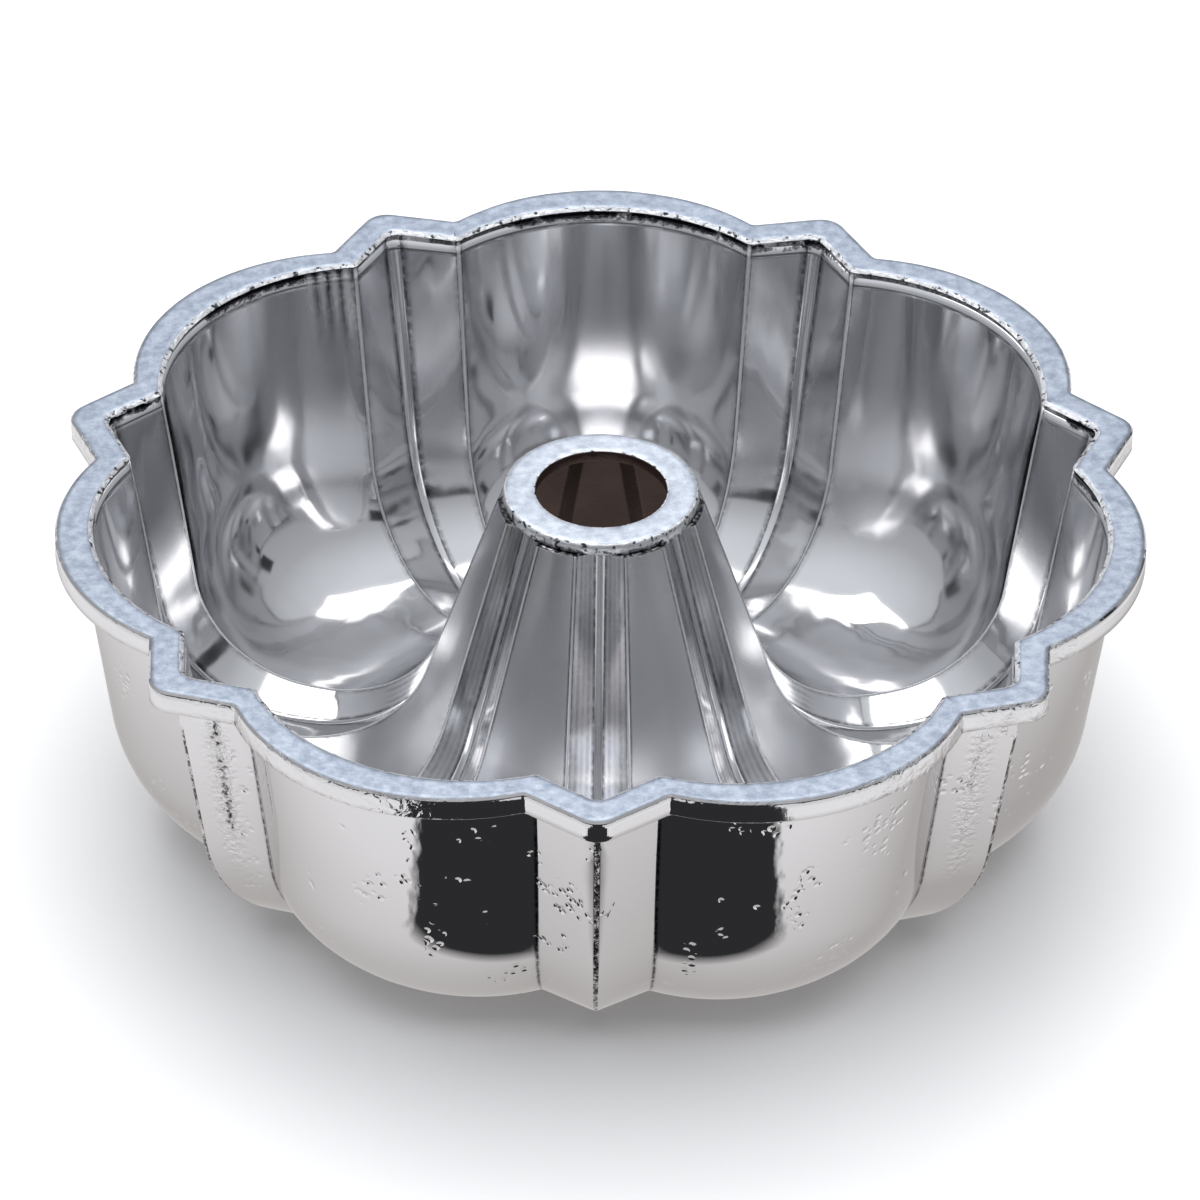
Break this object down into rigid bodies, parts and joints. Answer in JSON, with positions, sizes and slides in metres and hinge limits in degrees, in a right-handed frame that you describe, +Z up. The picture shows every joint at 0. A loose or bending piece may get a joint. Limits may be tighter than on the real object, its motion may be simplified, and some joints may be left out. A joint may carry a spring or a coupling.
{
  "type": "bundt pan",
  "caption": "Cast ring-cake pan with scalloped lobes parted by V ridges, a flat flange round the mouth and an open, fluted, tapering tube in the middle.",
  "frame": {"origin": "on the resting plane, under the centre tube's axis", "axes": "+Z up along the tube's axis, out of the mouth; -Y towards one V ridge, the one at the front"},
  "size_m": [0.2482, 0.2521, 0.0825],
  "materials": {
    "polished_lobes": "polished",
    "polished_ridges": "polished",
    "polished_tube": "polished",
    "ground_rim": "satin",
    "ground_ring": "satin"
  },
  "bodies": {
    "root": {"rim_flange": "ground_rim", "tube_ring": "ground_ring", "lobe_1": "polished_lobes", "lobe_2": "polished_lobes", "lobe_3": "polished_lobes", "lobe_4": "polished_lobes", "lobe_5": "polished_lobes", "lobe_6": "polished_lobes", "lobe_7": "polished_lobes", "ridge_1": "polished_ridges", "ridge_2": "polished_ridges", "ridge_3": "polished_ridges", "ridge_4": "polished_ridges", "ridge_5": "polished_ridges", "ridge_6": "polished_ridges", "ridge_7": "polished_ridges", "tube_facet_1": "polished_tube", "tube_facet_2": "polished_tube", "tube_facet_3": "polished_tube", "tube_facet_4": "polished_tube", "tube_facet_5": "polished_tube", "tube_facet_6": "polished_tube", "tube_facet_7": "polished_tube", "tube_groove_1": "polished_tube", "tube_groove_2": "polished_tube", "tube_groove_3": "polished_tube", "tube_groove_4": "polished_tube", "tube_groove_5": "polished_tube", "tube_groove_6": "polished_tube", "tube_groove_7": "polished_tube"}
  },
  "joints": []
}
